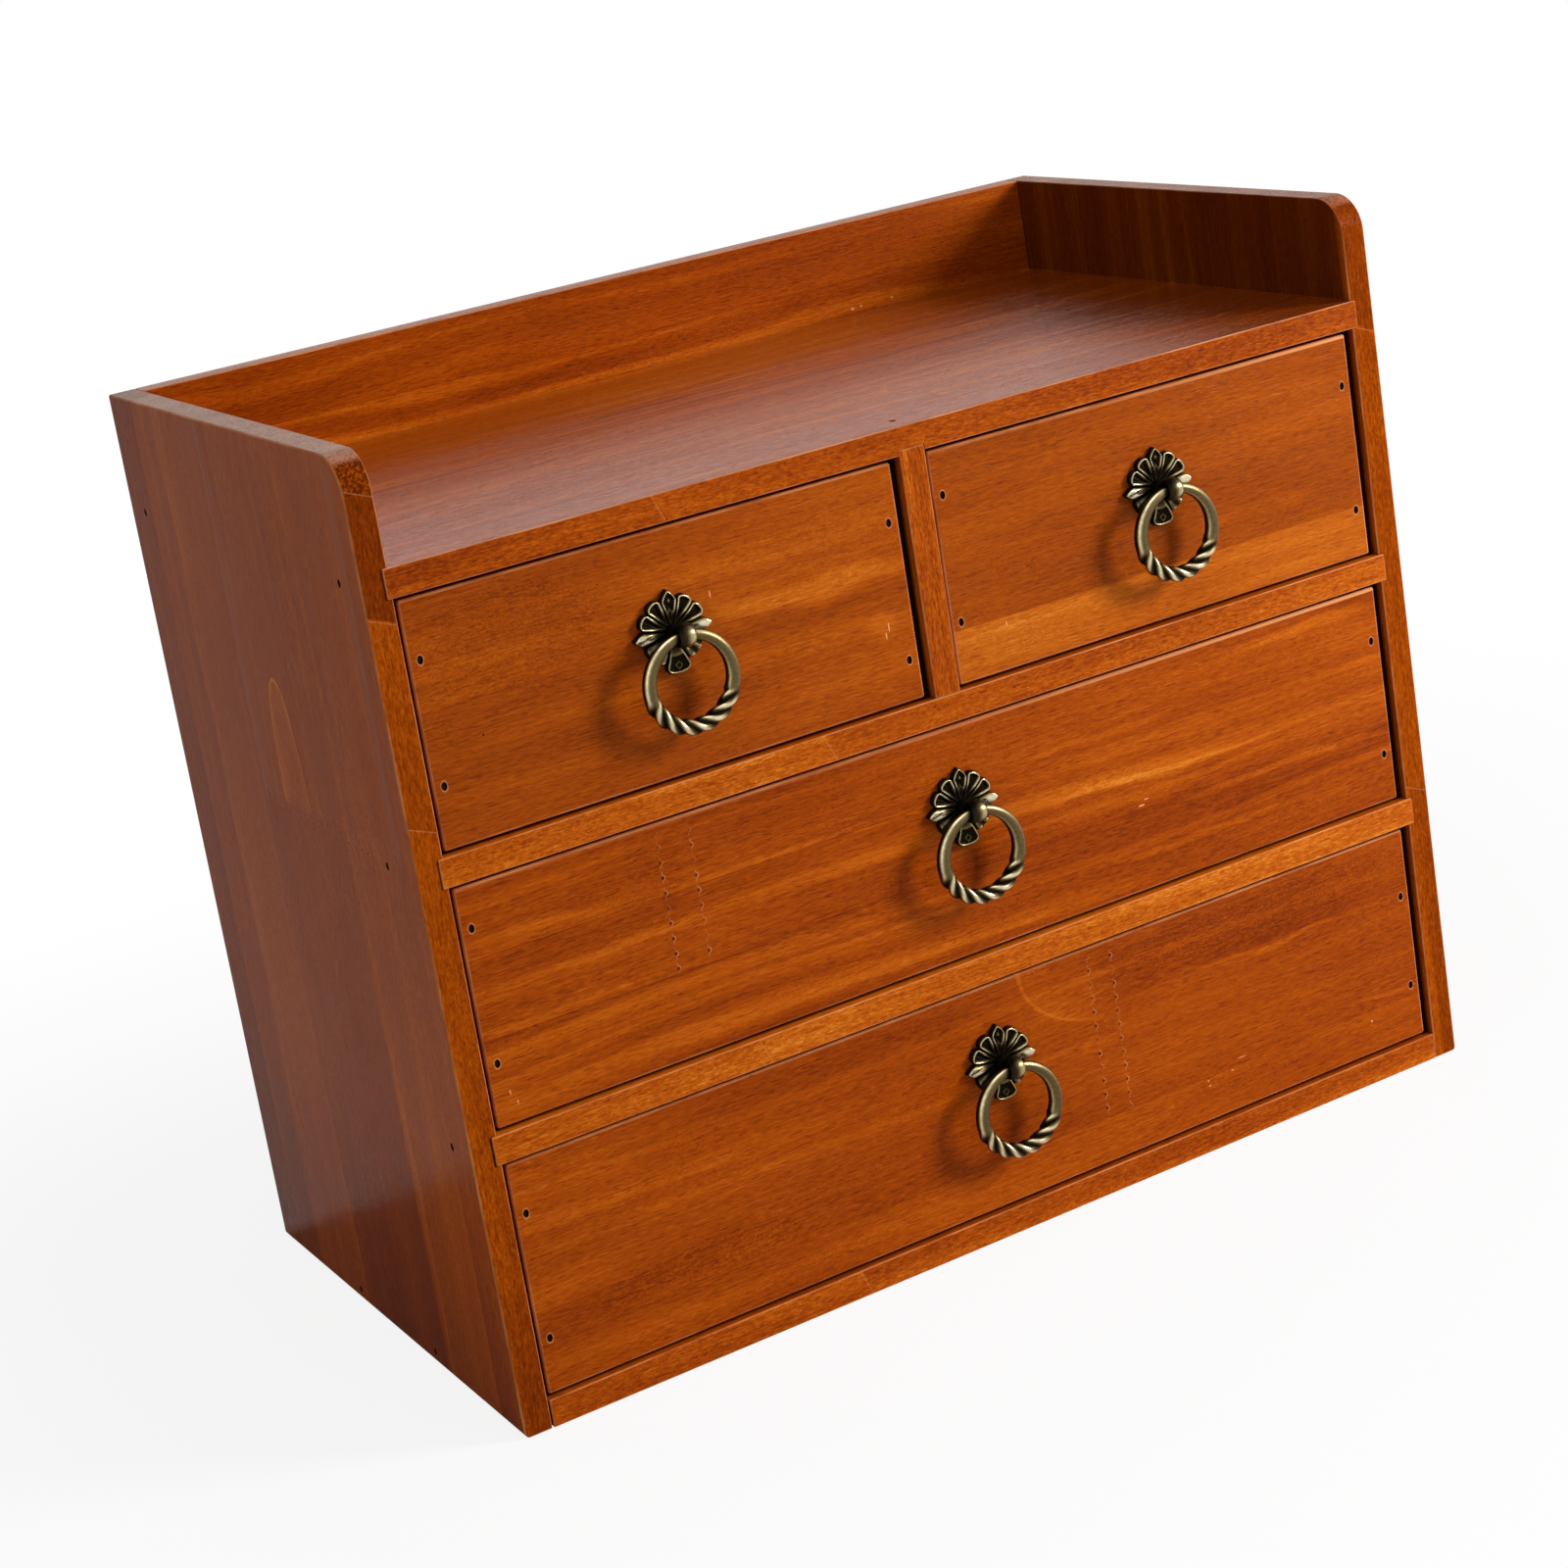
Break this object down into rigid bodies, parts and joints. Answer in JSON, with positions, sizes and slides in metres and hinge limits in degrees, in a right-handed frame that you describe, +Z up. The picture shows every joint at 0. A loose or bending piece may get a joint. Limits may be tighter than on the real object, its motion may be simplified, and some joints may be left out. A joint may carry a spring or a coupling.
{
  "type": "desktop drawer chest",
  "caption": "Small wooden desktop chest with a raised-edge top tray and inset drawers, half-width over full-width, each opened by a hanging twisted ring pull on a cast rosette.",
  "frame": {"origin": "middle of the underside of the case", "axes": "+Z up, the drawers face -Y, +X to the right as they are faced"},
  "size_m": [0.4, 0.2268, 0.332],
  "materials": {
    "case_wood": "gloss varnish over finger-jointed staves",
    "drawer_wood": "gloss varnish over finger-jointed staves",
    "plywood": "thin bare plywood",
    "antique_brass": "antiqued, dark in the hollows and rubbed bright on the edges",
    "nail_steel": "dull"
  },
  "bodies": {
    "case": {"left_side": "case_wood", "right_side": "case_wood", "back_panel": "case_wood", "bottom_board": "case_wood", "lower_shelf": "case_wood", "upper_shelf": "case_wood", "top_board": "case_wood", "divider": "case_wood", "case_nails": "nail_steel"},
    "upper_left_drawer": {"upper_left_drawer_front": "drawer_wood", "upper_left_drawer_left_side": "drawer_wood", "upper_left_drawer_right_side": "drawer_wood", "upper_left_drawer_back": "drawer_wood", "upper_left_drawer_bottom": "plywood", "upper_left_drawer_nails": "nail_steel", "upper_left_pull_rosette": "antique_brass", "upper_left_pull_eye_bolt": "antique_brass", "upper_left_pull_nut": "nail_steel"},
    "upper_left_ring": {"upper_left_pull_ring": "antique_brass"},
    "upper_right_drawer": {"upper_right_drawer_front": "drawer_wood", "upper_right_drawer_left_side": "drawer_wood", "upper_right_drawer_right_side": "drawer_wood", "upper_right_drawer_back": "drawer_wood", "upper_right_drawer_bottom": "plywood", "upper_right_drawer_nails": "nail_steel", "upper_right_pull_rosette": "antique_brass", "upper_right_pull_eye_bolt": "antique_brass", "upper_right_pull_nut": "nail_steel"},
    "upper_right_ring": {"upper_right_pull_ring": "antique_brass"},
    "middle_drawer": {"middle_drawer_front": "drawer_wood", "middle_drawer_left_side": "drawer_wood", "middle_drawer_right_side": "drawer_wood", "middle_drawer_back": "drawer_wood", "middle_drawer_bottom": "plywood", "middle_drawer_nails": "nail_steel", "middle_pull_rosette": "antique_brass", "middle_pull_eye_bolt": "antique_brass", "middle_pull_nut": "nail_steel"},
    "middle_ring": {"middle_pull_ring": "antique_brass"},
    "bottom_drawer": {"bottom_drawer_front": "drawer_wood", "bottom_drawer_left_side": "drawer_wood", "bottom_drawer_right_side": "drawer_wood", "bottom_drawer_back": "drawer_wood", "bottom_drawer_bottom": "plywood", "bottom_drawer_nails": "nail_steel", "bottom_pull_rosette": "antique_brass", "bottom_pull_eye_bolt": "antique_brass", "bottom_pull_nut": "nail_steel"},
    "bottom_ring": {"bottom_pull_ring": "antique_brass"}
  },
  "joints": [
    {"name": "upper_left_drawer_slide", "type": "slide", "parent": "case", "child": "upper_left_drawer", "axis": [0, -1, 0], "range_m": [0, 0.16]},
    {"name": "upper_left_ring_swing", "type": "hinge", "parent": "upper_left_drawer", "child": "upper_left_ring", "pos_m": [-0.09815, -0.1155, 0.2493], "axis": [-1, 0, 0], "range_deg": [-12, 192]},
    {"name": "upper_right_drawer_slide", "type": "slide", "parent": "case", "child": "upper_right_drawer", "axis": [0, -1, 0], "range_m": [0, 0.16]},
    {"name": "upper_right_ring_swing", "type": "hinge", "parent": "upper_right_drawer", "child": "upper_right_ring", "pos_m": [0.09685, -0.1155, 0.2493], "axis": [-1, 0, 0], "range_deg": [-12, 192]},
    {"name": "middle_drawer_slide", "type": "slide", "parent": "case", "child": "middle_drawer", "axis": [0, -1, 0], "range_m": [0, 0.16]},
    {"name": "middle_ring_swing", "type": "hinge", "parent": "middle_drawer", "child": "middle_ring", "pos_m": [-0.00065, -0.1155, 0.1598], "axis": [-1, 0, 0], "range_deg": [-12, 188]},
    {"name": "bottom_drawer_slide", "type": "slide", "parent": "case", "child": "bottom_drawer", "axis": [0, -1, 0], "range_m": [0, 0.16]},
    {"name": "bottom_ring_swing", "type": "hinge", "parent": "bottom_drawer", "child": "bottom_ring", "pos_m": [-0.00065, -0.1155, 0.0648], "axis": [-1, 0, 0], "range_deg": [-12, 188]}
  ]
}
